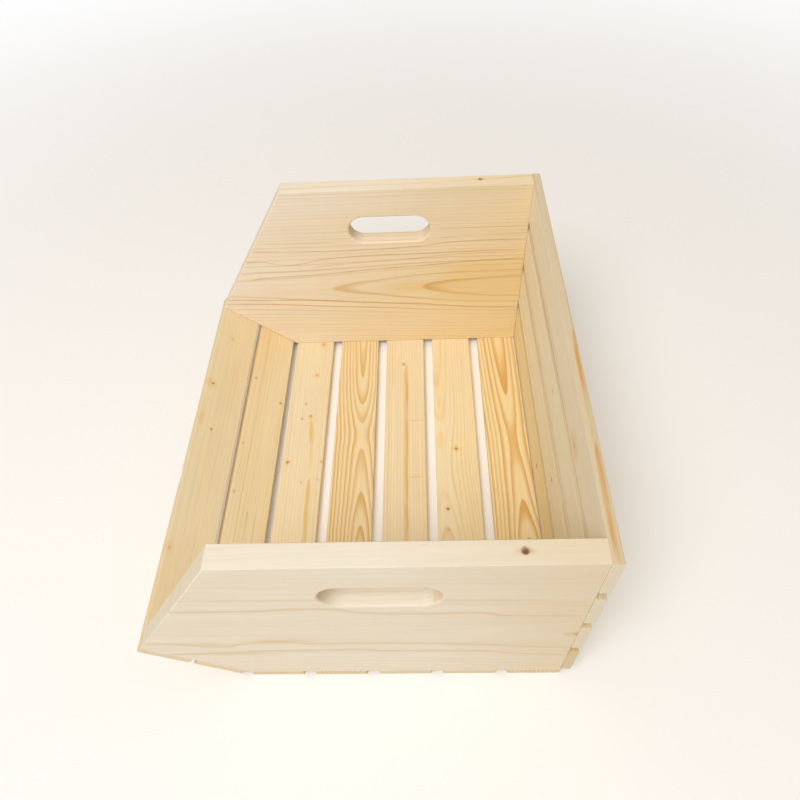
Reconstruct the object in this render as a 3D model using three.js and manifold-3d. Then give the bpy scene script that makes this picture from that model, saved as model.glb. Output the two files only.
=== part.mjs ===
// Kindling box: an open-topped slatted pine box with an open, sloping front.
// Two solid end panels carry eleven slats, screwed on from outside.
// Millimetres, +Z up. X runs along the slats, -Y is the open front, +Y the back.
// The origin is on the floor, below the middle of the box.

import * as THREE from 'three';
import { mergeVertices } from 'three/addons/utils/BufferGeometryUtils.js';
import Module from 'manifold-3d';

const wasm = await Module();
wasm.setup();

// ---- driving dimensions ----

const boxLength = 460;
const boxDepth = 400;
const boxHeight = 250;

const panelThickness = 20;
const panelBaseDepth = 302; // the flat edge under the panel
const panelTopDepth = 281; // the flat edge on top
const noseAngle = THREE.MathUtils.degToRad(41); // rise of the panel's lower front edge
const panelEase = 1.2; // eased arris all round a panel

const slatWidth = 50.5;
const slatThickness = 9;
const slatPitch = 62.3;
const noseSlatGap = 5; // between the two slats under the front
const slatEase = 1;
const seatGap = 0.3; // air between a turned slat and the edge that carries it

const handHoleLength = 94;
const handHoleHeight = 35;
const handHoleRim = 2.5; // rounded-over edge of the hole
const handHoleToBack = 161; // middle of the hole, from the panel's back edge
const handHoleToTop = 54; // middle of the hole, from the panel's top edge

const screwLength = 30;
const screwHeadRadius = 3.5;
const screwShankRadius = 1.75;
const screwRimHeight = 0.3;
const screwTipLength = 4;
const screwHeadDepth = 0.3; // how far the head is sunk below the face of the slat
const screwClearance = 0.3;
const screwSides = 10;
const screwToSlatEdge = 12;

// ---- derived places ----

const endX = boxLength / 2;
const backY = boxDepth / 2 - slatThickness;
const frontFootY = backY - panelBaseDepth;
const topFrontY = backY - panelTopDepth;
const panelFootZ = slatThickness;
const noseReach = boxDepth - slatThickness - panelBaseDepth
  - (slatThickness + seatGap) * Math.sin(noseAngle);
const noseY = frontFootY - noseReach;
const noseZ = panelFootZ + noseReach * Math.tan(noseAngle);
const noseEdgeLength = noseReach / Math.cos(noseAngle);

// ---- solids ----

// Closed manifold solid from a three.js geometry, for cutting and joining.
function solidOf(geometry) {
  const bare = geometry.clone();
  bare.deleteAttribute('normal');
  bare.deleteAttribute('uv');
  const merged = mergeVertices(bare, 1e-4);
  return new wasm.Manifold(new wasm.Mesh({
    numProp: 3,
    vertProperties: new Float32Array(merged.attributes.position.array),
    triVerts: new Uint32Array(merged.index.array),
  }));
}

function geometryOf(solid) {
  const mesh = solid.getMesh();
  const geometry = new THREE.BufferGeometry();
  geometry.setAttribute('position', new THREE.BufferAttribute(mesh.vertProperties, 3));
  geometry.setIndex(new THREE.BufferAttribute(mesh.triVerts, 1));
  geometry.computeVertexNormals();
  return geometry;
}

// Turns an outline drawn in (Y, Z) and extruded by `length` into a solid centred on X = 0.
function extrudeAlongX(shape, length, options = {}) {
  const geometry = new THREE.ExtrudeGeometry(shape, { depth: length, bevelEnabled: false, ...options });
  geometry.translate(0, 0, -length / 2);
  geometry.rotateY(Math.PI / 2);
  geometry.rotateX(Math.PI / 2);
  return geometry;
}

function stadium(length, height) {
  const radius = height / 2;
  const straight = length / 2 - radius;
  const outline = new THREE.Path();
  outline.moveTo(-straight, -radius);
  outline.lineTo(straight, -radius);
  outline.absarc(straight, 0, radius, -Math.PI / 2, Math.PI / 2, false);
  outline.lineTo(-straight, radius);
  outline.absarc(-straight, 0, radius, Math.PI / 2, 1.5 * Math.PI, false);
  return outline;
}

// A body of revolution along +Z from [radius, z] points that start and end on the axis.
function turned(points) {
  const profile = points.map(([radius, z]) => new THREE.Vector2(radius, z));
  const geometry = new THREE.LatheGeometry(profile, screwSides);
  geometry.rotateX(Math.PI / 2);
  return geometry;
}

// ---- screws ----
// A screw's own frame: z = 0 on the outer face of the slat, +Z into the wood.

const headConeLength = screwHeadRadius - screwShankRadius;
const headSeatZ = screwHeadDepth + screwRimHeight;

function screwGeometry() {
  const tipZ = screwHeadDepth + screwLength;
  return turned([
    [0, screwHeadDepth],
    [screwHeadRadius, screwHeadDepth],
    [screwHeadRadius, headSeatZ],
    [screwShankRadius, headSeatZ + headConeLength],
    [screwShankRadius, tipZ - screwTipLength],
    [0, tipZ],
  ]);
}

// The countersunk hole for one screw, long enough to cut through slat and panel edge.
function screwHoleSolid() {
  const mouthRadius = screwHeadRadius + screwClearance;
  const holeRadius = screwShankRadius + screwClearance;
  const mouthZ = headSeatZ + screwClearance / 2;
  return solidOf(turned([
    [0, -1],
    [mouthRadius, -1],
    [mouthRadius, mouthZ],
    [holeRadius, mouthZ + mouthRadius - holeRadius],
    [holeRadius, screwHeadDepth + screwLength + 1],
    [0, screwHeadDepth + screwLength + 2],
  ]));
}

// ---- slats ----
// A slat's own frame: X along it, Y across it, z = 0 on the face that meets the panels.

function slatOutline() {
  const halfWidth = slatWidth / 2;
  const r = slatEase;
  const outline = new THREE.Shape();
  outline.moveTo(-halfWidth + r, -slatThickness);
  outline.lineTo(halfWidth - r, -slatThickness);
  outline.absarc(halfWidth - r, -slatThickness + r, r, -Math.PI / 2, 0, false);
  outline.lineTo(halfWidth, -r);
  outline.absarc(halfWidth - r, -r, r, 0, Math.PI / 2, false);
  outline.lineTo(-halfWidth + r, 0);
  outline.absarc(-halfWidth + r, -r, r, Math.PI / 2, Math.PI, false);
  outline.lineTo(-halfWidth, -slatThickness + r);
  outline.absarc(-halfWidth + r, -slatThickness + r, r, Math.PI, 1.5 * Math.PI, false);
  return outline;
}

// Where the four screws of a slat stand in its own frame, two at each end.
function screwSpots(inset) {
  const across = slatWidth / 2 - screwToSlatEdge;
  const spots = [];
  for (const end of [-1, 1]) {
    for (const side of [-1, 1]) {
      spots.push(new THREE.Vector3(end * (endX - inset), side * across, -slatThickness));
    }
  }
  return spots;
}

function slatGeometry(inset) {
  let solid = solidOf(extrudeAlongX(slatOutline(), boxLength, { curveSegments: 2 }));
  for (const spot of screwSpots(inset)) {
    solid = solid.subtract(screwHoleSolid().translate(spot.toArray()));
  }
  return geometryOf(solid);
}

// Every slat's place: its middle on the panel edge, its turn about X, and how far its screws
// stand from the ends. The three rows differ there, so that screws pass at the corners.
function slatPlaces() {
  const places = [];
  const half = slatWidth / 2;
  for (let i = 0; i < 5; i++) {
    places.push({
      name: `bottom_slat_${i + 1}`,
      y: backY - half - (4 - i) * slatPitch,
      z: panelFootZ,
      turn: 0,
      inset: 7,
    });
  }
  for (let i = 0; i < 4; i++) {
    places.push({
      name: `back_slat_${i + 1}`,
      y: backY,
      z: boxHeight - half - i * slatPitch,
      turn: Math.PI / 2,
      inset: 13,
    });
  }
  const noseSlats = [
    { name: 'front_slat_upper', along: noseEdgeLength - half },
    { name: 'front_slat_lower', along: noseEdgeLength - half - slatWidth - noseSlatGap },
  ];
  for (const { name, along } of noseSlats) {
    places.push({
      name,
      y: frontFootY - along * Math.cos(noseAngle) - seatGap * Math.sin(noseAngle),
      z: panelFootZ + along * Math.sin(noseAngle) - seatGap * Math.cos(noseAngle),
      turn: -noseAngle,
      inset: 10,
    });
  }
  return places;
}

// ---- end panels ----
// A panel's own frame: X through its thickness, Y and Z as in the box.

function panelOutline() {
  const outline = new THREE.Shape();
  outline.moveTo(frontFootY, panelFootZ);
  outline.lineTo(backY, panelFootZ);
  outline.lineTo(backY, boxHeight);
  outline.lineTo(topFrontY, boxHeight);
  outline.lineTo(noseY, noseZ);
  outline.closePath();
  return outline;
}

// Board blank with eased arrises. The bevel grows inwards, so the outline keeps its size.
function panelBlank() {
  return solidOf(extrudeAlongX(panelOutline(), panelThickness - 2 * panelEase, {
    bevelEnabled: true,
    bevelThickness: panelEase,
    bevelSize: panelEase,
    bevelOffset: -panelEase,
    bevelSegments: 2,
  }));
}

// An oversize plate with the hand hole routed through it and its rims rounded over.
function handHolePlate() {
  const plate = new THREE.Shape();
  const margin = 40;
  const centreY = backY - handHoleToBack;
  const centreZ = boxHeight - handHoleToTop;
  plate.moveTo(noseY - margin - centreY, panelFootZ - margin - centreZ);
  plate.lineTo(backY + margin - centreY, panelFootZ - margin - centreZ);
  plate.lineTo(backY + margin - centreY, boxHeight + margin - centreZ);
  plate.lineTo(noseY - margin - centreY, boxHeight + margin - centreZ);
  plate.closePath();
  plate.holes.push(stadium(handHoleLength, handHoleHeight));
  const geometry = extrudeAlongX(plate, panelThickness - 2 * handHoleRim, {
    bevelEnabled: true,
    bevelThickness: handHoleRim,
    bevelSize: handHoleRim,
    bevelOffset: -handHoleRim,
    bevelSegments: 3,
    curveSegments: 10,
  });
  geometry.translate(0, centreY, centreZ);
  return solidOf(geometry);
}

// Blind holes for the screws of one end, in the panel's own frame.
function pilotHoles(end) {
  const holes = [];
  for (const place of slatPlaces()) {
    const matrix = new THREE.Matrix4().makeRotationX(place.turn).setPosition(0, place.y, place.z);
    for (const spot of screwSpots(place.inset)) {
      if (Math.sign(spot.x) !== end) {
        continue;
      }
      spot.x -= end * (endX - panelThickness / 2);
      const local = new THREE.Matrix4().makeTranslation(spot.x, spot.y, spot.z);
      holes.push(screwHoleSolid().transform(matrix.clone().multiply(local).elements));
    }
  }
  return holes;
}

function panelGeometry(end) {
  let solid = panelBlank().intersect(handHolePlate());
  for (const hole of pilotHoles(end)) {
    solid = solid.subtract(hole);
  }
  return geometryOf(solid);
}

// ---- materials ----

function pine(color) {
  return new THREE.MeshStandardMaterial({ color, roughness: 0.68, metalness: 0 });
}

const slatColours = {
  bottom_slat_1: 0xecd09c,
  bottom_slat_2: 0xe6c488,
  bottom_slat_3: 0xeccf9d,
  bottom_slat_4: 0xefd6a8,
  bottom_slat_5: 0xe3bd80,
  back_slat_1: 0xe9d2a8,
  back_slat_2: 0xe7cfa5,
  back_slat_3: 0xe6cda0,
  back_slat_4: 0xe4c998,
  front_slat_upper: 0xe6c898,
  front_slat_lower: 0xe3c593,
};

function zincPlate() {
  return new THREE.MeshStandardMaterial({ color: 0xb9bcc0, roughness: 0.35, metalness: 1 });
}

// ---- assembly ----

function namedMesh(name, geometry, material) {
  const mesh = new THREE.Mesh(geometry, material);
  mesh.name = name;
  return mesh;
}

function endPanel(name, end) {
  const mesh = namedMesh(name, panelGeometry(end), pine(0xebcd9b));
  mesh.position.x = end * (endX - panelThickness / 2);
  return mesh;
}

// One slat with its four screws, in a group that sets it against the panels.
function slatWithScrews(place) {
  const group = new THREE.Group();
  group.position.set(0, place.y, place.z);
  group.rotation.x = place.turn;
  group.add(namedMesh(place.name, slatGeometry(place.inset), pine(slatColours[place.name])));
  screwSpots(place.inset).forEach((spot, index) => {
    const screw = namedMesh(`${place.name}_screw_${index + 1}`, screwGeometry(), zincPlate());
    screw.position.copy(spot);
    group.add(screw);
  });
  return group;
}

const kindlingBox = new THREE.Group();
kindlingBox.name = 'kindling_box';
kindlingBox.add(endPanel('end_panel_left', -1));
kindlingBox.add(endPanel('end_panel_right', 1));
for (const place of slatPlaces()) {
  kindlingBox.add(slatWithScrews(place));
}

export default kindlingBox;
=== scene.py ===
import math

import bpy
from mathutils import Euler, Matrix, Vector


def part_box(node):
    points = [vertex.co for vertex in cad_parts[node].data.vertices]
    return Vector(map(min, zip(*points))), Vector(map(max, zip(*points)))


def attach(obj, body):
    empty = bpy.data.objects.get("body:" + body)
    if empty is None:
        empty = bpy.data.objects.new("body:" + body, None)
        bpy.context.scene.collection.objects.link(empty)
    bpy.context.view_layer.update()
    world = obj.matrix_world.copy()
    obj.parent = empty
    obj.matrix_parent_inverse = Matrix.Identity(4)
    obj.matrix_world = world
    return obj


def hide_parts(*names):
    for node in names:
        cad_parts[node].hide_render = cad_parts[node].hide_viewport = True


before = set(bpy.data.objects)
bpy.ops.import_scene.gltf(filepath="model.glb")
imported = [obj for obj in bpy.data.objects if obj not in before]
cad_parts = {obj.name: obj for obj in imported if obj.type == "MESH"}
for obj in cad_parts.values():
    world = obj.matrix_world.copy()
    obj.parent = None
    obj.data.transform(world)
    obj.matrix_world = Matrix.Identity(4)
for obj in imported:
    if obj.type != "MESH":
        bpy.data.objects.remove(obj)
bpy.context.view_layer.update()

mm = 0.001
hair = 1e-5     # two places closer together than this, in metres, count as one
body = "root"   # nothing on the box moves
print("frame in:", len(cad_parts), "CAD nodes")


def paint(red, green, blue):
    # a colour written as it looks on screen, 0 to 255, turned into Blender's linear values
    def linear(value):
        value = value / 255
        return value / 12.92 if value <= 0.04045 else ((value + 0.055) / 1.055) ** 2.4
    return (linear(red), linear(green), linear(blue), 1.0)


def setMode(mode):
    bpy.ops.object.mode_set(mode=mode)


def freshSelection(piece=None):
    if bpy.context.object and bpy.context.object.mode != "OBJECT":
        setMode("OBJECT")
    bpy.ops.object.select_all(action="DESELECT")
    if piece:
        piece.select_set(True)
        bpy.context.view_layer.objects.active = piece


# small node helpers

def feed(tree, socket, value):
    if isinstance(value, bpy.types.NodeSocket):
        tree.links.new(value, socket)
    else:
        socket.default_value = value


def addNode(tree, kind, *values, **settings):
    # a shader node with its settings made and its first sockets fed
    node = tree.nodes.new("ShaderNode" + kind)
    for name, value in settings.items():
        setattr(node, name, value)
    for socket, value in zip(node.inputs, values):
        feed(tree, socket, value)
    return node


def plug(tree, node, values):
    for label, value in values.items():
        feed(tree, node.inputs[label], value)


def maths(tree, operation, *values):
    return addNode(tree, "Math", *values, operation=operation).outputs[0]


def product(tree, value, *factors):
    for factor in factors:
        value = maths(tree, "MULTIPLY", value, factor)
    return value


def addWeighted(tree, total, *pairs):
    # the total, plus each value times its weight
    for value, weight in pairs:
        total = maths(tree, "MULTIPLY_ADD", value, weight, total)
    return total


def vectorMaths(tree, operation, *values, scale=None):
    node = addNode(tree, "VectorMath", *values, operation=operation)
    if scale is not None:
        feed(tree, node.inputs["Scale"], scale)
    return node.outputs["Value"] if operation in ("LENGTH", "DOT_PRODUCT") else node.outputs["Vector"]


def splitAxes(tree, vector):
    return addNode(tree, "SeparateXYZ", vector).outputs


def fade(tree, value, low, high, bottom=0.0, top=1.0, kind="SMOOTHSTEP"):
    # the value's way from low to high, drawn as a way from bottom to top
    node = addNode(tree, "MapRange", value, low, high, bottom, top, interpolation_type=kind)
    return node.outputs["Result"]


def mixColours(tree, amount, first, second, blend="MIX"):
    node = addNode(tree, "Mix", data_type="RGBA", blend_type=blend)
    sockets = {socket.identifier: socket for socket in node.inputs}
    feed(tree, sockets["Factor_Float"], amount)
    feed(tree, sockets["A_Color"], first)
    feed(tree, sockets["B_Color"], second)
    return next(socket for socket in node.outputs if socket.identifier == "Result_Color")


def mixShaders(tree, amount, first, second):
    return addNode(tree, "MixShader", amount, first, second).outputs[0]


def cloud(tree, vector, stretch, detail=2.0, roughness=0.5, offset=0.0):
    # soft noise around a half; stretch: bumps to the metre along, across and through the board
    scaled = vectorMaths(tree, "MULTIPLY", vector, stretch)
    moved = vectorMaths(tree, "ADD", scaled, (offset, offset * 0.7, offset * 1.3))
    node = addNode(tree, "TexNoise", moved)
    plug(tree, node, {"Scale": 1, "Detail": detail, "Roughness": roughness})
    return node.outputs[0]


def swing(tree, vector, stretch, detail=2.0):
    # the same noise, swinging around zero
    return maths(tree, "SUBTRACT", cloud(tree, vector, stretch, detail), 0.5)


def newGroup(name, inputs, outputs):
    # inputs and outputs: the names of the sockets under each kind
    group = bpy.data.node_groups.new(name, "ShaderNodeTree")
    for way, kinds in (("INPUT", inputs), ("OUTPUT", outputs)):
        for kind, labels in kinds.items():
            for label in labels:
                group.interface.new_socket(label, in_out=way, socket_type="NodeSocket" + kind)
    entry = group.nodes.new("NodeGroupInput").outputs
    leave = group.nodes.new("NodeGroupOutput").inputs
    return group, entry, leave


def useGroup(tree, group, **values):
    node = addNode(tree, "Group", node_tree=group)
    plug(tree, node, values)
    return node.outputs


def newMaterial(name):
    material = bpy.data.materials.new(name)
    material.use_nodes = True
    return material, material.node_tree, material.node_tree.nodes["Principled BSDF"]


# the camera stands near the right-hand end and looks down over it to the left-hand one
cameraSetup = {
    "place": (0.414652, 0.068083, 0.669118),
    "turn": (38.1826, 2.6313, 90.3593),
    "lens": 29.357,
    "sensor": 36,
    "clipStart": 0.01,
}

lightSetup = {
    "key": {"place": (1.7, -0.9, 3.2), "size": 2.0, "power": 85, "tint": (0.97, 1.0, 1.08)},
    "room": {"tint": (1.0, 0.93, 0.82), "horizon": 0.13, "overhead": 0.65, "overheadFrom": 0.85},
    "floor": {"colour": (249, 246, 241), "roughness": 0.9, "gloss": 0.1, "radius": 9.0, "sides": 96,
              "fadeFrom": 0.5, "fadeTo": 1.9},
}


def addCamera():
    freshSelection()
    turn = [math.radians(angle) for angle in cameraSetup["turn"]]
    bpy.ops.object.camera_add(location=cameraSetup["place"], rotation=turn)
    camera = bpy.context.object
    camera.name = "stillCamera"
    camera.data.sensor_width = cameraSetup["sensor"]
    camera.data.lens = cameraSetup["lens"]
    camera.data.clip_start = cameraSetup["clipStart"]
    bpy.context.scene.camera = camera


def addSoftbox(name, settings):
    freshSelection()
    bpy.ops.object.light_add(type="AREA", location=settings["place"])
    softbox = bpy.context.object
    softbox.name = name
    softbox.rotation_euler = (-Vector(settings["place"])).to_track_quat("-Z", "Y").to_euler()
    softbox.data.shape = "SQUARE"
    softbox.data.size = settings["size"]
    softbox.data.energy = settings["power"]
    softbox.data.color = settings["tint"]


def addBackground(tree, colour, strength):
    return addNode(tree, "Background", (*colour, 1.0), strength).outputs[0]


def addRoomLight():
    room = lightSetup["room"]
    world = bpy.data.worlds.new("paleRoom")
    bpy.context.scene.world = world
    world.use_nodes = True
    tree = world.node_tree
    tree.nodes.clear()
    # the room is brighter overhead than at the height of the floor
    height = splitAxes(tree, addNode(tree, "TexCoord").outputs["Generated"])[2]
    strength = fade(tree, height, 0.0, room["overheadFrom"], room["horizon"], room["overhead"], kind="LINEAR")
    ambient = addBackground(tree, room["tint"], strength)
    # seen straight on or in gloss it is plain white
    rays = addNode(tree, "LightPath").outputs
    seen = maths(tree, "MAXIMUM", rays["Is Camera Ray"], rays["Is Glossy Ray"])
    blend = mixShaders(tree, seen, ambient, addBackground(tree, (1, 1, 1), 1.0))
    addNode(tree, "OutputWorld", blend)


def addFloor():
    # pale sweep that keeps the box's shadow near it and runs out to plain white further off
    settings = lightSetup["floor"]
    freshSelection()
    bpy.ops.mesh.primitive_circle_add(vertices=settings["sides"], radius=settings["radius"], fill_type="NGON")
    floor = bpy.context.object
    floor.name = "paleFloor"
    material, tree, shader = newMaterial("palePaperSweep")
    plug(tree, shader, {"Base Color": paint(*settings["colour"]), "Roughness": settings["roughness"],
                        "Specular IOR Level": settings["gloss"]})
    distance = vectorMaths(tree, "LENGTH", addNode(tree, "TexCoord").outputs["Object"])
    far = fade(tree, distance, settings["fadeFrom"], settings["fadeTo"])
    seen = product(tree, far, addNode(tree, "LightPath").outputs["Is Camera Ray"])
    glow = addNode(tree, "Emission", (1, 1, 1, 1), 1.0)
    mixed = mixShaders(tree, seen, shader.outputs[0], glow.outputs[0])
    tree.links.new(mixed, tree.nodes["Material Output"].inputs["Surface"])
    floor.data.materials.append(material)


bpy.context.scene.view_settings.view_transform = "Standard"
addCamera()
addSoftbox("keySoftbox", lightSetup["key"])
addRoomLight()
addFloor()
print("camera, floor and light set")


# Pine: knots, streaks, growth rings and the surface that they give. Every board has its own grain space:
# x along the grain, y across the face, z out of the face, with the face that the camera sees at z = 0.
# A pair of numbers for a fade says where it starts and where it is full, and three for bumps say how
# many there are to the metre along, across and through the board.

knotSetup = {
    "rimBumps": (260, 260, 260),
    "ragged": 0.9,                  # how far the rim of the dark core wavers, in knot radii
    "core": (1.2, 0.45),            # in knot radii, as are the next two fades
    "halo": (1.3, 0.25),
    "push": (2.0, 0.1),
    "squash": (0.40, 0.54, 1.0),    # below 1 where the halo and the push reach further than the core
}


def makeKnotGroup():
    setup = knotSetup
    group, entry, leave = newGroup(
        "pineKnot",
        {"Vector": ["Grain", "Centre", "Radii"], "Float": ["Push"]},
        {"Vector": ["Grain"], "Float": ["Core", "Halo"]},
    )
    away = vectorMaths(group, "SUBTRACT", entry["Grain"], entry["Centre"])
    inRadii = vectorMaths(group, "DIVIDE", away, entry["Radii"])
    ragged = swing(group, entry["Grain"], setup["rimBumps"], detail=1.5)
    distance = addWeighted(group, vectorMaths(group, "LENGTH", inRadii), (ragged, setup["ragged"]))
    feed(group, leave["Core"], fade(group, distance, *setup["core"]))
    reach = vectorMaths(group, "LENGTH", vectorMaths(group, "MULTIPLY", inRadii, setup["squash"]))
    feed(group, leave["Halo"], fade(group, reach, *setup["halo"]))
    squeeze = product(group, fade(group, reach, *setup["push"]), entry["Push"])
    sideways = vectorMaths(group, "MULTIPLY", away, (0.0, 1.0, 0.0))
    push = vectorMaths(group, "SCALE", sideways, scale=squeeze)
    feed(group, leave["Grain"], vectorMaths(group, "SUBTRACT", entry["Grain"], push))
    return group


streakSetup = {
    "driftBumps": (16, 9, 9),
    "drift": 2,             # how far it wavers off its drawn line, in millimetres
    "side": (1.0, 0.15),    # in half widths of the streak
    "nose": 5.0,            # the length of its pointed start, in half widths
    "noseWidth": 0.2,
    "begin": 5,             # the length over which it appears, in millimetres, and is lost again
    "end": 30,
    "patchBumps": (30, 300, 300),
    "patchy": (0.3, 0.6),
    "faintest": 0.5,
}


def makeStreakGroup():
    # one line of resin or dark latewood, between Start and End, with its middle at Middle
    setup = streakSetup
    group, entry, leave = newGroup(
        "resinStreak",
        {"Vector": ["Grain"], "Float": ["Middle", "Start", "End", "Width"]},
        {"Float": ["Streak"]},
    )
    along, across = splitAxes(group, entry["Grain"])[:2]
    drift = swing(group, entry["Grain"], setup["driftBumps"])
    middle = addWeighted(group, entry["Middle"], (drift, setup["drift"] * mm))
    wideFrom = addWeighted(group, entry["Start"], (entry["Width"], setup["nose"]))
    nose = fade(group, along, entry["Start"], wideFrom, setup["noseWidth"], 1.0)
    width = product(group, entry["Width"], nose)
    off = maths(group, "DIVIDE", maths(group, "SUBTRACT", across, middle), width)
    mask = fade(group, maths(group, "ABSOLUTE", off), *setup["side"])
    begun = maths(group, "ADD", entry["Start"], setup["begin"] * mm)
    ending = maths(group, "SUBTRACT", entry["End"], setup["end"] * mm)
    starts = fade(group, along, entry["Start"], begun)
    ends = fade(group, along, entry["End"], ending)
    patches = cloud(group, entry["Grain"], setup["patchBumps"], detail=3)
    patchy = fade(group, patches, *setup["patchy"], setup["faintest"], 1.0)
    feed(group, leave["Streak"], product(group, mask, starts, ends, patchy))
    return group


ringSetup = {
    "slowBumps": (5, 14, 14),
    "quickBumps": (22, 60, 60),
    "quickSway": 0.22,      # the quick sway of a ring beside its slow one
    "yearPace": 0.45,       # how fast wide and narrow years follow each other, and how far they differ
    "yearSpread": 0.55,
    "fibreBumps": (60, 1400, 1400),
    "fray": 0.09,           # how far the fibres fray a ring, in ring widths
    "lateFull": 0.93,       # where in a ring the latewood is darkest
    "lateEnd": (1.0, 0.94),
    "faintest": 0.55,       # the faintest year beside the darkest
}


def makeRingGroup():
    setup = ringSetup
    group, entry, leave = newGroup(
        "growthRings",
        {"Vector": ["Grain"], "Float": ["Ring Width", "Crown Across", "Crown Lean", "Crown Depth", "Wander",
                                        "Late Start", "Seed"]},
        {"Float": ["Late"]},
    )
    along, across, out = splitAxes(group, entry["Grain"])
    shift = addNode(group, "CombineXYZ", entry["Seed"], entry["Seed"])
    grain = vectorMaths(group, "ADD", entry["Grain"], shift.outputs[0])
    slow = swing(group, grain, setup["slowBumps"], detail=1.5)
    quick = swing(group, grain, setup["quickBumps"])
    sway = product(group, addWeighted(group, slow, (quick, setup["quickSway"])), entry["Wander"])
    # the rings stand round the heart line, which runs along the board under its face
    middle = addWeighted(group, entry["Crown Across"], (along, entry["Crown Lean"]))
    sideways = maths(group, "SUBTRACT", across, middle)
    deep = maths(group, "ADD", out, entry["Crown Depth"])
    squares = maths(group, "MULTIPLY_ADD", deep, deep, product(group, sideways, sideways))
    radius = maths(group, "ADD", maths(group, "SQRT", squares), sway)
    count = maths(group, "DIVIDE", radius, entry["Ring Width"])
    years = addNode(group, "TexNoise", noise_dimensions="1D")
    pace = addWeighted(group, entry["Seed"], (count, setup["yearPace"]))
    plug(group, years, {"W": pace, "Scale": 1, "Detail": 1})
    uneven = maths(group, "SUBTRACT", years.outputs[0], 0.5)
    count = addWeighted(group, count, (uneven, setup["yearSpread"]))
    number = maths(group, "FLOOR", count)
    fibres = swing(group, grain, setup["fibreBumps"])
    phase = addWeighted(group, maths(group, "SUBTRACT", count, number), (fibres, setup["fray"]))
    rise = fade(group, phase, entry["Late Start"], setup["lateFull"])
    fall = fade(group, phase, *setup["lateEnd"])
    dice = addNode(group, "TexWhiteNoise", noise_dimensions="1D")
    feed(group, dice.inputs["W"], maths(group, "ADD", number, entry["Seed"]))
    shade = fade(group, dice.outputs["Value"], 0.0, 1.0, setup["faintest"], 1.0, kind="LINEAR")
    late = product(group, rise, fall, shade)
    feed(group, leave["Late"], late)
    return group


pineColours = {
    "pale": (238, 221, 184),
    "amber": (214, 167, 98),
    "heart": (236, 205, 152),
    "resin": (190, 142, 82),
    "sawn": (216, 200, 172),
    "knot": (116, 80, 46),
}

surfaceSetup = {
    "strandBumps": (7, 260, 260),
    "fibreBumps": (26, 1500, 1500),
    "ductBumps": (70, 2300, 2300),
    "strandTone": (0.955, 1.035),           # long strands a little darker and lighter
    "fibreTone": (0.965, 1.03),             # then the finest fibres
    "ductTone": 0.86,                       # and the short resin ducts
    "ductFade": (0.80, 0.74),
    "haloAmber": 0.7,
    "edgeShadeTint": (0.74, 0.65, 0.52, 1.0),    # painted shade: a side edge, down in the gap between boards, is darkened as if in shadow; its close rings darken it a little too
    "sawnShare": 0.6,
    "dullness": {"plain": 0.5, "fibre": 0.14, "late": -0.06, "endGrain": 0.15},
    "relief": {"fibre": 0.55, "late": 0.45, "core": -0.5, "duct": 0.3},
}


def makeSurfaceGroup():
    setup = surfaceSetup
    group, entry, leave = newGroup(
        "sawnPine",
        {"Vector": ["Grain"],
         "Float": ["Late", "Contrast", "Warmth", "Core", "Halo", "Streak", "Edge Shade", "End Grain"],
         "Color": [name.capitalize() for name in pineColours]},
        {"Color": ["Colour"], "Float": ["Roughness", "Height"]},
    )
    grain = entry["Grain"]
    fibre = cloud(group, grain, setup["fibreBumps"], detail=3, roughness=0.6)
    strands = cloud(group, grain, setup["strandBumps"], detail=3, roughness=0.55)
    ducts = cloud(group, grain, setup["ductBumps"], detail=0)
    # the warmth also carries a board's painted shaded side
    base = mixColours(group, entry["Warmth"], entry["Pale"], entry["Heart"])
    ringTone = product(group, entry["Late"], entry["Contrast"])
    colour = mixColours(group, ringTone, base, entry["Amber"])
    streaky = fade(group, strands, 0.25, 0.75, *setup["strandTone"], kind="LINEAR")
    fine = fade(group, fibre, 0.25, 0.75, *setup["fibreTone"], kind="LINEAR")
    duct = fade(group, ducts, *setup["ductFade"], setup["ductTone"], 1.0)
    tone = product(group, streaky, fine, duct)
    amber = product(group, entry["Halo"], setup["haloAmber"])
    colour = mixColours(group, amber, vectorMaths(group, "SCALE", colour, scale=tone), entry["Amber"])
    # painted shade: the sideways edges, which lie in the gaps between boards, are darkened as if in shadow
    shadedEdge = mixColours(group, 1.0, colour, setup["edgeShadeTint"], blend="MULTIPLY")
    colour = mixColours(group, entry["Edge Shade"], colour, shadedEdge)
    colour = mixColours(group, entry["Streak"], colour, entry["Resin"])
    colour = mixColours(group, entry["Core"], colour, entry["Knot"])
    sawn = mixColours(group, setup["sawnShare"], colour, entry["Sawn"])
    feed(group, leave["Colour"], mixColours(group, entry["End Grain"], colour, sawn))
    dull = setup["dullness"]
    feed(group, leave["Roughness"], addWeighted(
        group, dull["plain"], (fibre, dull["fibre"]), (entry["Late"], dull["late"]),
        (entry["End Grain"], dull["endGrain"])))
    relief = setup["relief"]
    feed(group, leave["Height"], addWeighted(
        group, 0.0, (fibre, relief["fibre"]), (entry["Late"], relief["late"]),
        (entry["Core"], relief["core"]), (duct, relief["duct"])))
    return group


knotGroup = makeKnotGroup()
streakGroup = makeStreakGroup()
ringGroup = makeRingGroup()
surfaceGroup = makeSurfaceGroup()

# what a board has unless its own dictionary says otherwise; places and sizes are in millimetres
plainBoard = {
    "lean": 0.0,            # how the heart line drifts across the board along its length
    "wander": 2.5,
    "lateStart": 0.5,
    "contrast": 0.3,        # of the rings, and as a share of that where they are faint
    "quiet": 0.6,
    "heartShare": 0.3,
    "edgeShadeAmount": 0.0,
    "colours": {},
    "knots": (), "streaks": (), "edgeStreaks": (), "checks": (), "stains": (),
}

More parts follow.
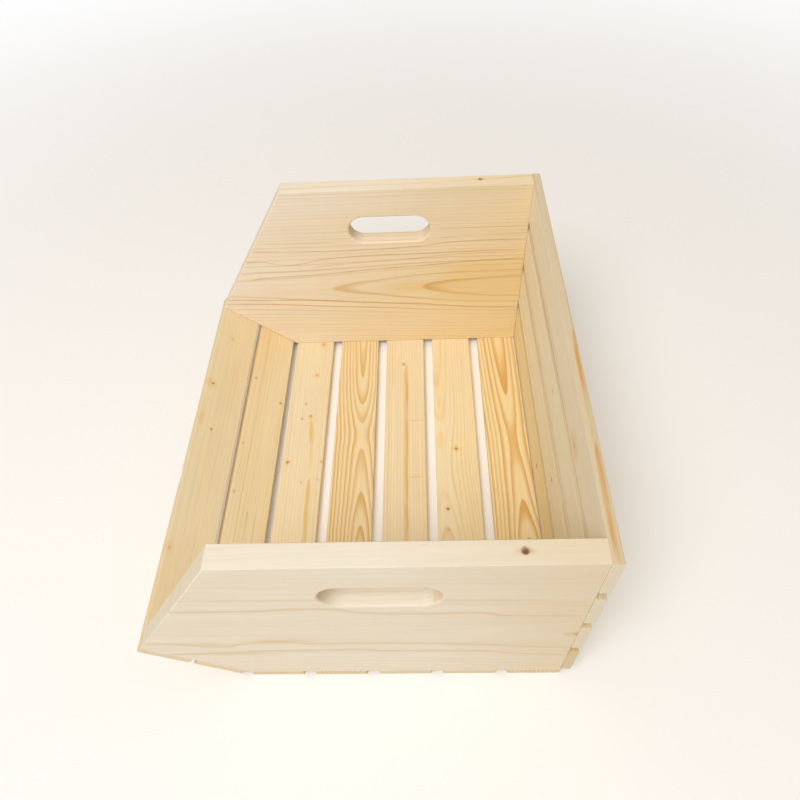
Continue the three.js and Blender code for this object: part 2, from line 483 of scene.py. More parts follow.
pineSetup = {
    "span": 460,            # every path along a board is drawn over this length
    "knotOval": 1.1,
    "haloExtra": 0.15,
    "warmBumps": (3.5, 22, 22),
    "warmFade": (0.3, 0.7),
    "quietBumps": (5, 40, 12),
    "quietFade": (0.35, 0.62),
    "bandSoftness": 0.3,    # in half widths of the band
    # the edge mask reaches round onto the arris, so the painted edge shade darkens the lit arris too
    "edgeFade": (0.3, 0.8),
    "endFade": (0.45, 0.95),
    "gloss": 0.32,
    "bump": 0.35,
    "bumpDepth": 0.15,
}


def drawnPath(tree, along, points):
    # a smooth value that runs through the given (along, value) points
    span = pineSetup["span"] * mm
    half = span / 2
    values = [value for place, value in points]
    low = min(values) - 1
    high = max(values) + 1
    node = addNode(tree, "FloatCurve")
    feed(tree, node.inputs["Value"], fade(tree, along, -half, half, kind="LINEAR"))
    curve = node.mapping.curves[0]
    spots = [((place * mm + half) / span, (value - low) / (high - low)) for place, value in points]
    curve.points[0].location = spots[0]
    curve.points[1].location = spots[-1]
    for spot in spots[1:-1]:
        curve.points.new(*spot)
    node.mapping.update()
    return maths(tree, "MULTIPLY_ADD", node.outputs[0], (high - low) * mm, low * mm)


def drawStreaks(tree, grain, streaks):
    # streaks: path, half width (or half width at the start and at the end), strength
    along = splitAxes(tree, grain)[0]
    streak = 0.0
    for path, width, strength in streaks:
        start, end = path[0][0] * mm, path[-1][0] * mm
        if isinstance(width, tuple):
            width = fade(tree, along, start, end, width[0] * mm, width[1] * mm, kind="LINEAR")
        else:
            width = width * mm
        line = useGroup(tree, streakGroup, Grain=grain, Middle=drawnPath(tree, along, path), Start=start,
                        End=end, Width=width)
        streak = maths(tree, "MAXIMUM", streak, product(tree, line["Streak"], strength))
    return streak


def drawKnots(tree, grain, knots):
    # knots: along, across, radius, darkness, how far it pushes the rings aside and, if it doesn't
    # run through the face, how far out of the face it lies
    core = 0.0
    halo = 0.0
    for along, across, radius, dark, push, *out in knots:
        centre = (along * mm, across * mm, out[0] * mm if out else 0.0)
        radii = (radius * mm, radius * pineSetup["knotOval"] * mm, radius * mm if out else 1.0)
        spot = useGroup(tree, knotGroup, Grain=grain, Centre=centre, Radii=radii, Push=push)
        grain = spot["Grain"]
        core = maths(tree, "MAXIMUM", core, product(tree, spot["Core"], dark))
        amber = min(1.0, dark + pineSetup["haloExtra"])
        halo = maths(tree, "MAXIMUM", halo, product(tree, spot["Halo"], amber))
    return grain, core, halo


def reorder(tree, grain, order):
    # the same grain space with its axes in another order, such as "yxz"
    axes = splitAxes(tree, grain)
    return addNode(tree, "CombineXYZ", *(axes["xyz".index(axis)] for axis in order)).outputs[0]


def boardWarmthAndShade(tree, grain, board):
    # how far the wood goes from pale sapwood to warm heartwood: soft patches and stains at given places; a
    # side made warmer and darker is painted shade, on the side away from the key light
    patches = cloud(tree, grain, pineSetup["warmBumps"], offset=board["seed"])
    warmthAndShade = fade(tree, patches, *pineSetup["warmFade"], 0.0, board["heartShare"])
    # painted shade: the wood grows warmer and darker towards the side that turns away from the key light
    if "shadedSide" in board:
        towards, start, end, amount = board["shadedSide"]
        reach = vectorMaths(tree, "DOT_PRODUCT", grain, (*towards, 0.0))
        warmthAndShade = maths(tree, "ADD", warmthAndShade, fade(tree, reach, start * mm, end * mm, 0.0, amount))
    for along, across, length, width, strength in board["stains"]:
        away = vectorMaths(tree, "SUBTRACT", grain, (along * mm, across * mm, 0.0))
        inSizes = vectorMaths(tree, "MULTIPLY", away, (1 / (length * mm), 1 / (width * mm), 0.0))
        spot = fade(tree, vectorMaths(tree, "LENGTH", inSizes), 1.0, 0.2, 0.0, strength)
        warmthAndShade = maths(tree, "ADD", warmthAndShade, spot)
    return maths(tree, "MINIMUM", warmthAndShade, 1.0)


def ringContrast(tree, grain, board):
    # latewood lines come and go along a board, and are bold only inside its band if it has one
    bold = board["contrast"]
    patches = cloud(tree, grain, pineSetup["quietBumps"], detail=1.5, offset=board["seed"] * 1.7)
    contrast = fade(tree, patches, *pineSetup["quietFade"], bold * board["quiet"], bold)
    if "band" in board:
        middle, halfWidth, outside = board["band"]
        across = splitAxes(tree, grain)[1]
        off = maths(tree, "ABSOLUTE", maths(tree, "SUBTRACT", across, middle * mm))
        edge = halfWidth * mm
        soft = edge * pineSetup["bandSoftness"]
        faded = fade(tree, off, edge - soft, edge + soft, 1.0, outside)
        contrast = product(tree, contrast, faded)
    return contrast


def pineMaterial(piece, origin, turn, board):
    setup = pineSetup
    board = {**plainBoard, **board}
    material, tree, shader = newMaterial(piece + "Pine")
    coordinates = addNode(tree, "TexCoord").outputs
    plain = addNode(tree, "Mapping", coordinates["Object"], origin, turn, vector_type="TEXTURE").outputs[0]
    grain, core, halo = drawKnots(tree, plain, board["knots"])
    streak = drawStreaks(tree, grain, board["streaks"])
    checks = drawStreaks(tree, reorder(tree, plain, "yxz"), board["checks"])
    streak = maths(tree, "MAXIMUM", streak, checks)
    # how squarely the surface faces along the grain, and across it
    axes = Euler(turn).to_matrix()
    endwise = maths(tree, "ABSOLUTE", vectorMaths(tree, "DOT_PRODUCT", coordinates["Normal"], axes.col[0]))
    sideways = maths(tree, "ABSOLUTE", vectorMaths(tree, "DOT_PRODUCT", coordinates["Normal"], axes.col[1]))
    edge = fade(tree, sideways, *setup["edgeFade"])
    if board["edgeStreaks"]:
        onEdge = drawStreaks(tree, reorder(tree, plain, "xzy"), board["edgeStreaks"])
        streak = maths(tree, "MAXIMUM", streak, product(tree, onEdge, edge))
    # how far under the face the heart line runs: each place where it passes a whole number of
    # ring widths is the tip of a flame in the grain
    depth = drawnPath(tree, splitAxes(tree, grain)[0], board["crown"])
    rings = useGroup(tree, ringGroup, **{
        "Grain": grain,
        "Ring Width": board["ringWidth"] * mm,
        "Crown Across": board["crownAcross"] * mm,
        "Crown Lean": board["lean"],
        "Crown Depth": depth,
        "Wander": board["wander"] * mm,
        "Late Start": board["lateStart"],
        "Seed": board["seed"],
    })
    colours = {**pineColours, **board["colours"]}
    face = useGroup(tree, surfaceGroup, **{
        "Grain": plain,
        "Late": rings["Late"],
        "Contrast": ringContrast(tree, plain, board),
        "Warmth": boardWarmthAndShade(tree, plain, board),
        "Core": core,
        "Halo": halo,
        "Streak": streak,
        # painted shade on the sideways edges of the board, which lie in the gaps between boards
        "Edge Shade": product(tree, edge, board["edgeShadeAmount"]),
        "End Grain": fade(tree, endwise, *setup["endFade"]),
        **{name.capitalize(): paint(*colour) for name, colour in colours.items()},
    })
    bump = addNode(tree, "Bump")
    plug(tree, bump, {"Strength": setup["bump"], "Distance": setup["bumpDepth"] * mm,
                      "Height": face["Height"]})
    plug(tree, shader, {"Base Color": face["Colour"], "Roughness": face["Roughness"],
                        "Specular IOR Level": setup["gloss"], "Normal": bump.outputs["Normal"]})
    return material


print("pine grain built")


# modelling helpers

def pickNone(kind):
    setMode("EDIT")
    bpy.ops.mesh.select_mode(type=kind)
    bpy.ops.mesh.select_all(action="DESELECT")
    setMode("OBJECT")


def pickEdges(piece, test):
    # edges are picked by where their two ends are
    pickNone("EDGE")
    spots = [vertex.co for vertex in piece.data.vertices]
    for edge in piece.data.edges:
        edge.select = test(spots[edge.vertices[0]], spots[edge.vertices[1]])
    setMode("EDIT")


def bevelEdges(piece, test, width, steps):
    pickEdges(piece, test)
    bpy.ops.mesh.bevel(offset=width * mm, segments=steps, affect="EDGES")
    setMode("OBJECT")


def pickPoints(piece, test):
    pickNone("VERT")
    for vertex in piece.data.vertices:
        vertex.select = test(vertex.co)
    setMode("EDIT")


def addBlock(name, size, centre):
    freshSelection()
    bpy.ops.mesh.primitive_cube_add(size=1, location=centre)
    block = bpy.context.object
    block.name = name
    block.scale = size
    bpy.ops.object.transform_apply(location=True, rotation=False, scale=True)
    return block


def addDisc(radius, sides, centre):
    freshSelection()
    bpy.ops.mesh.primitive_circle_add(vertices=sides, radius=radius, fill_type="NGON", location=centre)
    bpy.ops.object.transform_apply(location=True, rotation=False, scale=False)
    return bpy.context.object


def raiseDisc(steps):
    # draws the disc just added up into a turned shape: each step is a rise, in millimetres, and a taper
    setMode("EDIT")
    bpy.ops.mesh.select_all(action="SELECT")
    for rise, taper in steps:
        bpy.ops.mesh.extrude_region_move(TRANSFORM_OT_translate={"value": (0, 0, rise * mm)})
        bpy.ops.transform.resize(value=(taper, taper, 1))
    bpy.ops.mesh.select_all(action="SELECT")
    bpy.ops.mesh.normals_make_consistent(inside=False)
    setMode("OBJECT")


def cutAway(piece, cutter):
    freshSelection(piece)
    cut = piece.modifiers.new("cut", "BOOLEAN")
    cut.operation = "DIFFERENCE"
    cut.solver = "EXACT"
    cut.object = cutter
    bpy.ops.object.modifier_apply(modifier="cut")
    bpy.data.objects.remove(cutter)


def finishShading(piece, sharpAngle=38):
    freshSelection(piece)
    bpy.ops.object.shade_smooth_by_angle(angle=math.radians(sharpAngle))
    even = piece.modifiers.new("evenNormals", "WEIGHTED_NORMAL")
    even.keep_sharp = True
    bpy.ops.object.modifier_apply(modifier="evenNormals")


def settle(piece, matrix):
    # puts a piece modelled at the origin in its place, in its mesh
    piece.data.transform(matrix)
    piece.matrix_world = Matrix.Identity(4)


def dress(piece, node, slotName, material):
    piece.data.materials.clear()
    piece.data.materials.append(material)
    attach(piece, body)
    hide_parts(node)


# end panels: sawn to a nose, with a routed hand hole
panelSetup = {
    "footLength": 302,
    "topLength": 281,
    "noseAngle": 41,          # how steeply the front boards rise, in degrees
    "arris": 1.2,
    "arrisSteps": 3,
    "holeLength": 94,
    "holeHeight": 35,
    "holeRound": 2.5,
    "holeRoundSteps": 5,
    "holeToBack": 161,
    "holeToTop": 54,
    "holeSides": 56,
    "pitDepth": 1.3,
    "pitWidth": 0.9,          # beside its length
    "pitSquash": 0.75,
    "pitWobble": (0.06, 0.05),
}

panels = {
    "end_panel_left": {
        "piece": "farEndPanel",
        "seed": 3.7,
        "crown": [(-230, 66.9), (-120, 65.8), (-50, 64), (0, 62.4), (65, 60), (110, 58.7), (230, 56.8)],
        "crownAcross": 108, "lean": -0.02, "ringWidth": 4, "wander": 2.6, "lateStart": 0.7,
        "contrast": 0.9, "quiet": 0.55, "band": (112, 56, 0.6), "heartShare": 0.2, "edgeShadeAmount": 0.3,
        "colours": {"pale": (252, 240, 220), "heart": (244, 218, 163), "amber": (222, 177, 103),
                    "resin": (208, 163, 98)},
        # painted shade: warmer and darker towards the back wall and the bottom of the box
        "shadedSide": ((0.75, -0.66), -230, 90, 0.7),
        "knots": [(134, 250, 2.6, 0.85, 0.3, -13)],
        "streaks": [
            ([(-195, 94), (-150, 92), (-60, 88), (0, 82), (60, 78), (120, 71), (200, 66)], 1.5, 0.75),
            ([(-150, 126), (-120, 129), (-60, 132), (0, 137), (60, 141), (120, 145), (200, 149)], 1.4, 0.6),
            ([(-170, 153), (-130, 154), (-100, 148), (-80, 150), (-50, 156), (0, 159), (60, 160), (200, 162)],
             1.2, 0.6),
            ([(-140, 170), (-60, 168), (0, 168), (60, 171), (120, 176), (200, 177)], 1.2, 0.65),
            ([(-70, 143), (-20, 148), (40, 151), (110, 157), (200, 158)], 1.0, 0.5),
            ([(85, 194), (120, 195), (200, 196)], 1.0, 0.4),
            ([(-122, 182), (-70, 180), (-28, 181)], 1.0, 0.4),
            ([(88, 182), (130, 184), (200, 185)], 1.0, 0.4),
        ],
        "stains": [(150, 112, 90, 46, 0.5), (60, 108, 60, 12, 0.4)],
        "pit": (134, -13),
    },
    "end_panel_right": {
        "piece": "nearEndPanel",
        "seed": 11.2,
        "crown": [(-230, 113), (-60, 111.5), (60, 110.5), (230, 109)],
        "crownAcross": 124, "lean": -0.05, "ringWidth": 6, "wander": 3.0, "lateStart": 0.6,
        "quiet": 0.2, "band": (70, 150, 0.35), "heartShare": 0.15,
        "colours": {"pale": (237, 226, 204), "heart": (226, 201, 158), "amber": (214, 182, 134),
                    "resin": (222, 194, 152)},
        # painted shade: warmer and darker towards the back wall, away from the key light
        "shadedSide": ((1.0, 0.1), 40, 230, 0.55),
        "knots": [(134, 250, 3.3, 0.95, 0.3, -11.2), (190, 112, 3.2, 0.3, 0.4)],
        "streaks": [
            ([(-160, 171), (-80, 171), (-20, 175), (10, 167), (60, 163), (100, 164), (130, 156), (205, 155)],
             4.2, 0.75),
            ([(-200, 92), (-160, 95), (-120, 85), (-100, 93), (-60, 97), (-40, 93), (0, 93), (100, 88),
              (150, 81), (205, 74)], 4.0, 0.75),
            ([(-185, 65), (-120, 69), (-60, 74), (0, 75), (30, 71), (100, 70), (140, 62), (205, 56)],
             3.8, 0.8),
            ([(-150, 194), (-60, 193), (100, 188), (205, 183)], 3.4, 0.55),
            ([(60, 186), (110, 182), (205, 180)], 2.6, 0.5),
        ],
        "stains": [(-60, 100, 46, 7, 0.7), (-130, 92, 40, 8, 0.5), (-110, 66, 60, 6, 0.5),
                   (187, 111, 11, 8, 1.0)],
        "pit": (134, -11.2),
    },
}


def makeHandHoleCutter(middle, reach):
    # a round bar split down the middle and pulled apart into a slot
    width = panelSetup["holeLength"] * mm
    height = panelSetup["holeHeight"] * mm
    sides = panelSetup["holeSides"]
    freshSelection()
    bpy.ops.mesh.primitive_cylinder_add(vertices=sides, radius=height / 2, depth=reach)
    cutter = bpy.context.object
    cutter.data.transform(Matrix.Rotation(math.pi / sides, 4, "Z"))
    for side in (-1, 1):
        pickPoints(cutter, lambda spot: spot.y * side > 0)
        bpy.ops.transform.translate(value=(0, side * (width - height) / 2, 0))
        setMode("OBJECT")
    cutter.data.transform(Matrix.Translation(middle) @ Matrix.Rotation(math.pi / 2, 4, "Y"))
    return cutter


def addLump(subdivisions, radius, middle, reshape):
    # a ball with every point moved, which cuts away what a knot or a splinter leaves open
    freshSelection()
    bpy.ops.mesh.primitive_ico_sphere_add(subdivisions=subdivisions, radius=radius)
    lump = bpy.context.object
    for vertex in lump.data.vertices:
        vertex.co = reshape(*vertex.co)
    lump.data.transform(Matrix.Translation(middle))
    return lump


def makePitCutter(middle, radius):
    sway, ripple = panelSetup["pitWobble"]

    def reshape(x, y, z):
        wobble = 1 + sway * math.sin(x / radius * 3 + 1) + ripple * math.cos(y / radius * 4)
        return (x * wobble, y * wobble * panelSetup["pitWidth"], z * panelSetup["pitSquash"])
    return addLump(4, radius, middle, reshape)


def makeEndPanel(node, board):
    setup = panelSetup
    low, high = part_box(node)
    middle = (low + high) / 2
    back, foot, top, nose = high.y, low.z, high.z, low.y
    footFront = back - setup["footLength"] * mm
    topFront = back - setup["topLength"] * mm
    angle = math.radians(setup["noseAngle"])
    noseHeight = foot + (footFront - nose) * math.tan(angle)
    panel = addBlock(board["piece"], high - low, middle)
    # the two saw cuts that leave the nose
    undercut = Vector((0, -math.sin(angle), -math.cos(angle)))
    slope = Vector((0, topFront - nose, top - noseHeight)).normalized()
    rake = Vector((0, -slope.z, slope.y))
    setMode("EDIT")
    for spot, normal in (((middle.x, footFront, foot), undercut), ((middle.x, topFront, top), rake)):
        bpy.ops.mesh.select_all(action="SELECT")
        bpy.ops.mesh.bisect(plane_co=spot, plane_no=normal, use_fill=True, clear_outer=True)
    setMode("OBJECT")
    hole = Vector((middle.x, back - setup["holeToBack"] * mm, top - setup["holeToTop"] * mm))
    cutAway(panel, makeHandHoleCutter(hole, (high.x - low.x) * 2))

    def onFace(a, b):
        return any(abs(a.x - face) < hair and abs(b.x - face) < hair for face in (low.x, high.x))

    def atHole(spot, margin):
        alongside = abs(spot.y - hole.y) < setup["holeLength"] / 2 * mm + margin
        return alongside and abs(spot.z - hole.z) < setup["holeHeight"] / 2 * mm + margin

    def holeEdge(a, b):
        return onFace(a, b) and atHole(a, hair) and atHole(b, hair)

    def outerEdge(a, b):
        rim = setup["holeRound"] * mm + 10 * hair
        return onFace(a, b) and not atHole(a, rim) and not atHole(b, rim)

    bevelEdges(panel, holeEdge, setup["holeRound"], setup["holeRoundSteps"])
    bevelEdges(panel, outerEdge, setup["arris"], setup["arrisSteps"])
    # the first knot has a pit where it comes out of the top edge
    along, inward = board["pit"]
    radius = board["knots"][0][2] * mm
    pitHeight = top + radius * setup["pitSquash"] - setup["pitDepth"] * mm
    cutAway(panel, makePitCutter((high.x + inward * mm, along * mm, pitHeight), radius))
    finishShading(panel)
    material = pineMaterial(board["piece"], (high.x, 0, 0), (math.pi / 2, 0, math.pi / 2), board)
    dress(panel, node, "pine_end_panel", material)


for node, board in panels.items():
    makeEndPanel(node, board)
print("end panels made")


# slats: planed boards with countersunk ends
slatSetup = {
    "arris": 1.0,
    "arrisSteps": 3,
    "endArris": 0.4,
    "endArrisSteps": 2,
    "lengthCuts": 15,
    "screwOffMiddle": 13.25,
    "chipReach": 1.6,         # how far a chip runs down the slat's edge, in its depths
    "chipWobble": (0.2, 0.1),
}

rows = {
    "bottom": {"turn": 0, "inset": 7, "slot": "pine_bottom_slat"},
    "back": {"turn": 90, "inset": 13, "slot": "pine_back_slat"},
    "front": {"turn": -panelSetup["noseAngle"], "inset": 10, "slot": "pine_front_slat"},
}

slats = {
    "bottom_slat_1": {
        "seed": 21.3, "crown": [(-230, 70), (230, 62)], "crownAcross": -215, "ringWidth": 3.4,
        "wander": 3.0, "lateStart": 0.3, "contrast": 0.26, "heartShare": 0.25,
        "colours": {"pale": (233, 216, 178), "resin": (222, 184, 106)},
        "knots": [(-206, -72, 2.6, 0.3, 0.35), (-150, -77, 2.2, 0.25, 0.3), (-102, -87, 1.1, 0.5, 0.3),
                  (-82, -79, 1.5, 0.6, 0.4), (-78, -90, 1.1, 0.5, 0.3), (-13, -101, 1.8, 0.55, 0.4),
                  (-13, -60, 1.6, 0.25, 0.3), (12, -63, 1.4, 0.2, 0.3), (16, -82, 1.4, 0.2, 0.3),
                  (-103, -50, 9.0, 0.0, 0.6)],
        "streaks": [([(-80, -78), (-60, -76), (-20, -73)], (6.5, 2.0), 0.9),
                    ([(-62, -76), (-30, -74), (8, -73)], (2.0, 5.0), 0.5),
                    ([(8, -73), (60, -72), (230, -67)], 4.0, 1.0)],
        "stains": [(-206, -72, 16, 10, 0.5), (-150, -77, 10, 8, 0.4), (-74, -79, 14, 9, 0.5),
                   (-12, -100, 12, 10, 0.5)],
    },
    "bottom_slat_2": {
        "seed": 2.1,
        "crown": [(-230, 4.6), (-200, 5.6), (-140, 8), (-101, 12), (-67, 16), (-50, 17.2), (-33, 16),
                  (35, 12), (73, 8), (120, 4), (180, 2), (230, 1.4)],
        "crownAcross": -11, "lean": 0.028, "ringWidth": 4, "wander": 1.1, "lateStart": 0.25,
        "contrast": 1.0, "quiet": 0.8,
        "colours": {"pale": (236, 216, 171), "amber": (210, 160, 80)},
        "shadedSide": ((0.0, -1.0), -6, 40, 0.4),
    },
    "bottom_slat_3": {
        "seed": 31.9, "crown": [(-230, 40), (230, 36)], "crownAcross": -110, "ringWidth": 3.6,
        "wander": 1.8, "lateStart": 0.45, "contrast": 0.38, "quiet": 0.5, "heartShare": 0.35,
        "colours": {"pale": (237, 219, 180), "resin": (216, 170, 86)},
        "knots": [(-166, 39, 1.7, 0.45, 0.5)],
        "streaks": [([(-168, 41), (-150, 43.5), (0, 44), (230, 45)], 1.5, 0.9),
                    ([(-166, 40), (-150, 42), (0, 42.5), (230, 43.5)], 3.8, 0.75),
                    ([(-175, 20), (-100, 20), (0, 21), (230, 23)], 1.2, 0.3)],
        "checks": [([(44, -75), (50, -72), (58, -71.5), (72, -75)], 1.0, 0.8),
                   ([(44, 16), (50, 11.5), (58, 11), (72, 13)], 1.6, 0.55)],
    },
    "bottom_slat_4": {
        "seed": 14.6,
        "crown": [(-230, 26), (-90, 30), (-35, 33), (0, 34.2), (40, 33), (95, 30), (230, 24)],
        "crownAcross": 86, "lean": 0.03, "ringWidth": 2.6, "wander": 2.0, "contrast": 0.5, "quiet": 0.5,
        "colours": {"pale": (239, 221, 180), "amber": (219, 177, 106), "heart": (239, 207, 136)},
        "knots": [(-28, 103, 1.6, 0.85, 0.4), (54, 90, 1.5, 0.75, 0.4), (80, 90, 1.2, 0.25, 0.3)],
        "stains": [(-98, 85, 14, 3.4, 0.7), (-45, 85, 14, 4.0, 0.8), (-128, 84, 16, 3.0, 0.5),
                   (-28, 103, 9, 8, 0.6), (54, 90, 8, 6, 0.5)],
    },
    "bottom_slat_5": {
        "seed": 5.4,
        "crown": [(-230, 12.6), (-160, 14.4), (-108, 16), (-72, 17.5), (-45, 18.6), (-20, 18.4), (0, 17.7),
                  (20, 16.9), (45, 16), (88, 12), (130, 8), (180, 4), (230, 2)],
        "crownAcross": 174, "lean": 0.03, "ringWidth": 4, "wander": 1.1, "lateStart": 0.3,
        "contrast": 1.0, "quiet": 0.85, "heartShare": 0.4,
        "colours": {"pale": (238, 218, 168), "amber": (215, 157, 68), "heart": (237, 212, 152)},
    },
    "back_slat_1": {
        "seed": 8.8, "crown": [(-230, 50), (230, 44)], "crownAcross": 120, "ringWidth": 4.0,
        "heartShare": 0.25, "edgeShadeAmount": 1.0,
        "colours": {"pale": (248, 240, 219), "heart": (240, 216, 172), "resin": (206, 155, 84)},
        "knots": [(107, 210, 1.8, 0.15, 0.4)],
        "streaks": [([(-205, 207), (-60, 206), (100, 205)], 1.5, 0.5)],
        "edgeStreaks": [([(8, -7.5), (50, -6.5), (95, -6)], 2.6, 1.0),
                        ([(128, -6.5), (160, -5), (235, -3.5)], 3.0, 1.0)],
        "stains": [(107, 210, 22, 14, 0.7)],
    },
    "back_slat_2": {
        "seed": 17.5, "crown": [(-230, 40), (230, 46)], "crownAcross": 210, "ringWidth": 3.6,
        "edgeShadeAmount": 1.0,
        "colours": {"pale": (248, 240, 215), "heart": (240, 216, 170)},
        "knots": [(15, 170, 1.8, 0.3, 0.4)],
        "streaks": [([(-230, 143), (0, 143), (230, 144)], 1.3, 0.6)],
    },
    "back_slat_3": {
        "seed": 27.1, "crown": [(-230, 38), (230, 36)], "crownAcross": 70, "ringWidth": 3.8,
        "heartShare": 0.35, "edgeShadeAmount": 1.0,
        "colours": {"pale": (248, 239, 212), "heart": (240, 216, 168)},
        "knots": [(75, 103, 2.0, 0.45, 0.4), (-90, 85, 1.5, 0.45, 0.4)],
    },
    "back_slat_4": {
        "seed": 33.4, "crown": [(-230, 30), (230, 34)], "crownAcross": 35, "ringWidth": 3.4,
        "wander": 2.0, "lateStart": 0.35, "contrast": 0.35, "heartShare": 0.8, "edgeShadeAmount": 1.0,
        # painted shade: the end grain of this lowest slat, at the foot of the wall, is made darker as if in
        # shadow
        "colours": {"pale": (244, 231, 192), "heart": (241, 218, 160), "sawn": (200, 176, 142)},
        "knots": [(17, 38, 2.2, 0.8, 0.4)],
    },
    "front_slat_upper": {
        "seed": 41.0, "crown": [(-230, 44), (-60, 46), (230, 43)], "crownAcross": -118, "ringWidth": 3.4,
        "wander": 2.0, "lateStart": 0.4, "contrast": 0.17, "heartShare": 0.5, "edgeShadeAmount": 0.5,
        "colours": {"pale": (244, 228, 192), "heart": (241, 211, 157), "amber": (222, 198, 112)},
        "knots": [(-85, -101, 1.4, 0.6, 0.5), (-22, -91, 1.3, 0.6, 0.3), (-165, -90, 1.1, 0.25, 0.3),
                  (130, -106, 1.5, 0.2, 0.4)],
        "chip": (44, 11, 1.9),
        "stains": [(-85, -103, 11, 10, 0.8), (-32, -105, 16, 4.5, 0.9), (-165, -90, 9, 7, 0.4),
                   (130, -106, 12, 8, 0.5)],
    },
    "front_slat_lower": {
        "seed": 45.2, "crown": [(-230, 30), (230, 34)], "crownAcross": -70, "ringWidth": 3.2,
        "wander": 1.6, "lateStart": 0.4, "contrast": 0.22, "heartShare": 0.6, "edgeShadeAmount": 1.0,
        "colours": {"pale": (246, 228, 186), "heart": (244, 211, 152)},
        "knots": [(-121, -49, 1.1, 0.5, 0.3), (-99, -10, 1.3, 0.65, 0.3), (-20, -50, 1.3, 0.2, 0.3),
                  (45, -50, 1.5, 0.2, 0.3)],
        "streaks": [([(60, -31), (75, -30), (110, -31)], 1.2, 0.45), ([(-230, -40), (230, -41)], 1.0, 0.3),
                    ([(66, -22), (80, -20), (110, -24)], 1.6, 0.25)],
    },
}

screwSetup = {
    "length": 30,
    "headRadius": 3.5,
    "rim": 0.3,
    "neckDepth": 2.4,
    "shankRadius": 1.75,
    "coreRadius": 1.25,
    "pitch": 1.5,
    "threadStart": 9.0,
    "runIn": 0.5,
    "threadHalf": 0.14,       # half the width of the thread's foot, in pitches
    "tip": 4.0,
    "tipRadius": 0.12,
    "sides": 20,
    "sunk": 0.3,
    "driven": 2.399,          # each is turned by so much more than the one before, in radians
    "mouthRadius": 3.8,
    "clearance": 0.25,
    "drillOver": 0.5,         # how far the cutter of a hole stands over the wood, and goes on past the neck
    "drillOn": 12.0,
    "recessSpan": 4.2,
    "recessWidth": 0.9,
    "recessDepth": 1.5,
    "recessTaper": 0.45,
}


def pieceName(node):
    # bottom_slat_1 is dressed by bottomSlat_1
    row, kind, mark = node.split("_")
    return row + kind.capitalize() + "_" + mark


def rowOf(node):
    return node.split("_")[0]


def slatPlace(node):
    # the slat's own frame: its middle, with z turned to the face on the inside of the box
    low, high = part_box(node)
    turn = math.radians(rows[rowOf(node)]["turn"])
    return Matrix.Translation((low + high) / 2) @ Matrix.Rotation(turn, 4, "X")


def slatSize():
    low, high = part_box("bottom_slat_1")
    return high - low      # every slat is cut from the same stock


def screwSpots(node):
    half = slatSize() / 2
    inset = rows[rowOf(node)]["inset"] * mm
    across = slatSetup["screwOffMiddle"] * mm
    for end in (-1, 1):
        for side in (-1, 1):
            yield Vector((end * (half.x - inset), side * across, -half.z))


def makeSinkCutter(node):
    # the drilled holes: a mouth for each head and a clearance hole for its shank
    setup = screwSetup
    neck = setup["shankRadius"] + setup["clearance"]
    steps = [(setup["drillOver"] + setup["sunk"] + setup["rim"], 1.0),
             (setup["neckDepth"] - setup["rim"], neck / setup["mouthRadius"]),
             (setup["drillOn"], 1.0)]
    holes = []
    for spot in screwSpots(node):
        start = spot - Vector((0, 0, setup["drillOver"] * mm))
        holes.append(addDisc(setup["mouthRadius"] * mm, setup["sides"], start))
        raiseDisc(steps)
    freshSelection(holes[0])
    for hole in holes:
        hole.select_set(True)
    bpy.ops.object.join()
    return holes[0]


def makeChipCutter(chip):
    # a splinter lost from the outer top arris: where along the slat, half its length, its depth
    along, halfLength, depth = (value * mm for value in chip)
    half = slatSize() / 2
    sway, ripple = slatSetup["chipWobble"]

    def reshape(x, y, z):
        wobble = 1 + sway * math.sin(x * 7) + ripple * math.cos(z * 5)
        return (x * halfLength, y * depth * wobble, z * depth * slatSetup["chipReach"])
    return addLump(3, 1, (along, -half.y, -half.z), reshape)


def slatMaterial(node, board):
    low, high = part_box(node)
    panelLow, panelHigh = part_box("end_panel_left")
    footFront = panelHigh.y - panelSetup["footLength"] * mm
    origins = {"bottom": (0, 0, high.z), "back": (0, low.y, 0), "front": (0, footFront, panelLow.z)}
    row = rowOf(node)
    return pineMaterial(pieceName(node), origins[row], (math.radians(rows[row]["turn"]), 0, 0), board)


def makeSlat(node, board):
    setup = slatSetup
    half = slatSize() / 2
    slat = addBlock(pieceName(node), slatSize(), (0, 0, 0))

    def lengthwise(a, b):
        return abs(a.x - b.x) > hair

    def onCorner(spot):
        return abs(abs(spot.y) - half.y) < hair and abs(abs(spot.z) - half.z) < hair

    def longArris(a, b):
        return lengthwise(a, b) and onCorner(a) and onCorner(b)

    def endArris(a, b):
        return abs(abs(a.x) - half.x) < hair and abs(abs(b.x) - half.x) < hair

    pickEdges(slat, lengthwise)
    bpy.ops.mesh.subdivide(number_cuts=setup["lengthCuts"])
    setMode("OBJECT")
    bevelEdges(slat, longArris, setup["arris"], setup["arrisSteps"])
    bevelEdges(slat, endArris, setup["endArris"], setup["endArrisSteps"])
    cutAway(slat, makeSinkCutter(node))
    if "chip" in board:
        cutAway(slat, makeChipCutter(board["chip"]))
    finishShading(slat)
    settle(slat, slatPlace(node))
    dress(slat, node, rows[rowOf(node)]["slot"], slatMaterial(node, board))


for node, board in slats.items():
    makeSlat(node, board)
print("slats made:", len(slats))


zincSetup = {
    "dark": (186, 188, 190),
    "light": (214, 213, 208),
    "roughness": (0.28, 0.46),
    "spangle": (900, 900, 900),     # spots to the metre
}


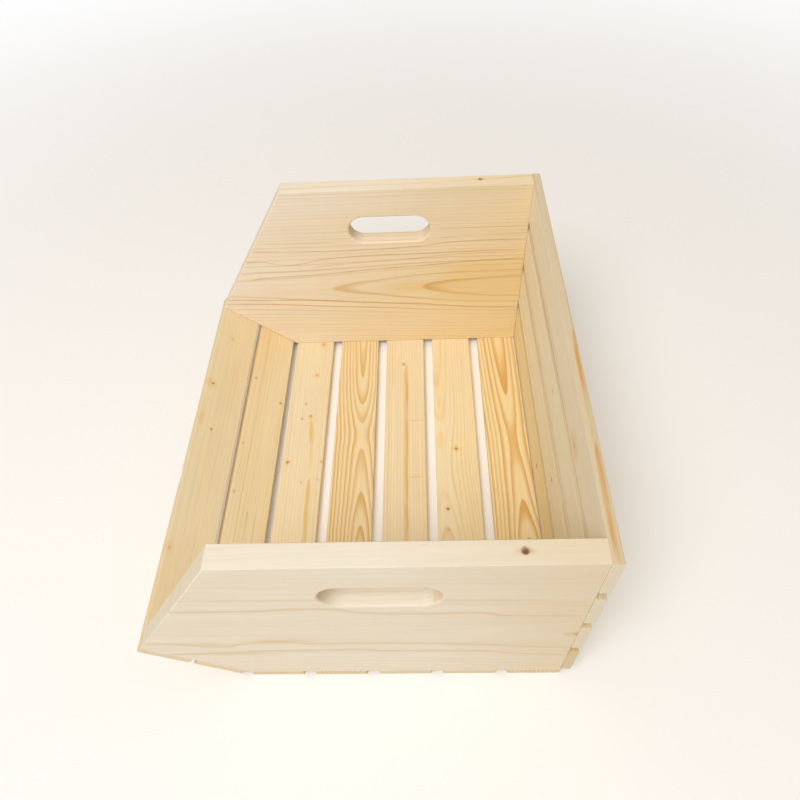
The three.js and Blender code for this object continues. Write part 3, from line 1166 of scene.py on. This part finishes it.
def zincMaterial():
    setup = zincSetup
    material, tree, shader = newMaterial("zincPlate")
    spots = cloud(tree, addNode(tree, "TexCoord").outputs["Object"], setup["spangle"], detail=3)
    lit = fade(tree, spots, 0.3, 0.7)
    colour = mixColours(tree, lit, paint(*setup["dark"]), paint(*setup["light"]))
    dull = fade(tree, spots, 0.2, 0.8, *setup["roughness"])
    plug(tree, shader, {"Base Color": colour, "Roughness": dull, "Metallic": 1.0})
    return material


def screwProfile():
    # the turned outline from the flat of the head to the point, as (depth, radius)
    setup = screwSetup
    shank, core, pitch = setup["shankRadius"], setup["coreRadius"], setup["pitch"]
    profile = [(setup["rim"], setup["headRadius"]), (setup["neckDepth"], shank),
               (setup["threadStart"], shank)]
    depth = setup["threadStart"] + setup["runIn"]
    while depth < setup["length"] - setup["tip"]:
        crest = depth + pitch / 2
        foot = pitch * setup["threadHalf"]
        profile += [(depth, core), (crest - foot, core), (crest, shank), (crest + foot, core)]
        depth += pitch
    return profile + [(setup["length"], setup["tipRadius"])]


def makeScrew():
    # pointing along +z, with the flat of the head at z = 0
    setup = screwSetup
    screw = addDisc(setup["headRadius"] * mm, setup["sides"], (0, 0, 0))
    steps = []
    lastDepth, lastRadius = 0, setup["headRadius"]
    for depth, radius in screwProfile():
        steps.append((depth - lastDepth, radius / lastRadius))
        lastDepth, lastRadius = depth, radius
    raiseDisc(steps)
    # cross recess, narrower at the bottom
    span, width, deep = (setup[part] * mm for part in ("recessSpan", "recessWidth", "recessDepth"))
    for size in ((span, width, deep * 2), (width, span, deep * 2)):
        cutter = addBlock("crossRecess", size, (0, 0, 0))
        pickPoints(cutter, lambda spot: spot.z > 0)
        bpy.ops.transform.resize(value=(setup["recessTaper"], setup["recessTaper"], 1))
        setMode("OBJECT")
        cutAway(screw, cutter)
    finishShading(screw, sharpAngle=30)
    return screw


def placeScrews():
    zinc = zincMaterial()
    screw = makeScrew()
    sunk = Matrix.Translation((0, 0, screwSetup["sunk"] * mm))
    count = 0
    for node in slats:
        for number, spot in enumerate(screwSpots(node), start=1):
            tail = "_screw_" + str(number)
            copy = bpy.data.objects.new(pieceName(node) + tail, screw.data.copy())
            bpy.context.collection.objects.link(copy)
            driven = Matrix.Rotation(count * screwSetup["driven"], 4, "Z")
            settle(copy, slatPlace(node) @ Matrix.Translation(spot) @ sunk @ driven)
            dress(copy, node + tail, "zinc_screw", zinc)
            count += 1
    bpy.data.objects.remove(screw)
    return count


print("screws driven:", placeScrews())
